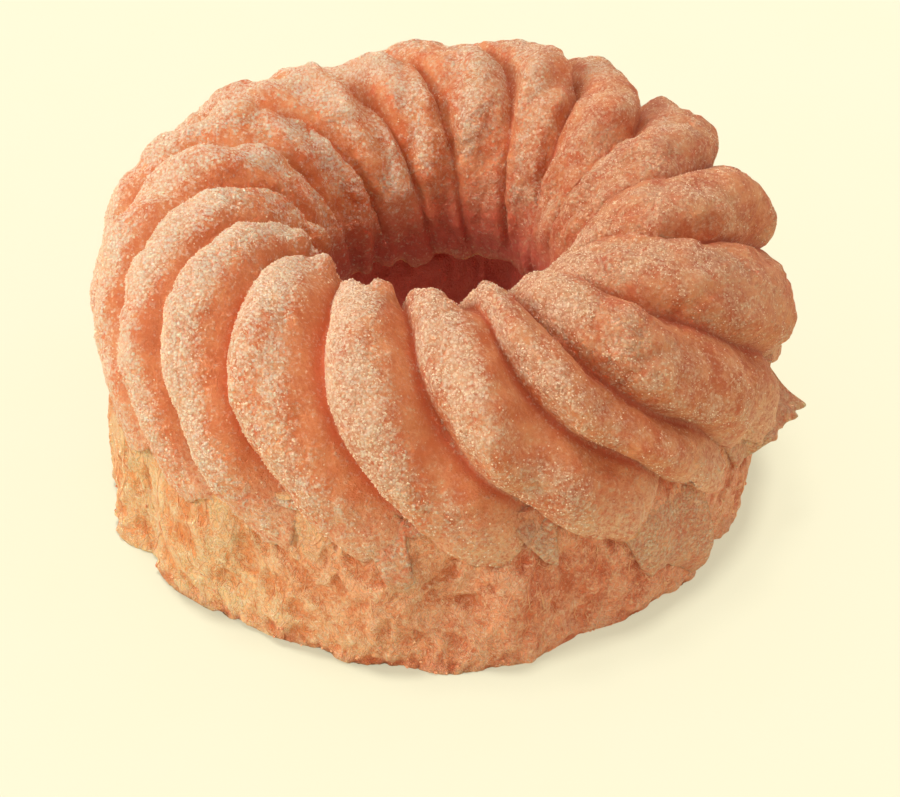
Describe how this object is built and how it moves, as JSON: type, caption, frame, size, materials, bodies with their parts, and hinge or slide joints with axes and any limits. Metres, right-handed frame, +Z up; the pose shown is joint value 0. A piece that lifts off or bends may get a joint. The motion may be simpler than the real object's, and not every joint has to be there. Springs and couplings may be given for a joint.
{
  "type": "cruller doughnut",
  "caption": "Ring-shaped fried choux doughnut with deep ridges that sweep round it and a burst, craggy lower half, standing on its flat underside.",
  "frame": {"origin": "on the surface that the ring stands on, under the middle of its bounding box", "axes": "+Z up through the hole, -Y towards the side that the picture shows in front, +X to its right"},
  "size_m": [0.086, 0.0852, 0.0448],
  "materials": {
    "crust": "fried golden crust under a thin frosting of sugar, matte"
  },
  "bodies": {
    "root": {"cruller": "crust"}
  },
  "joints": []
}
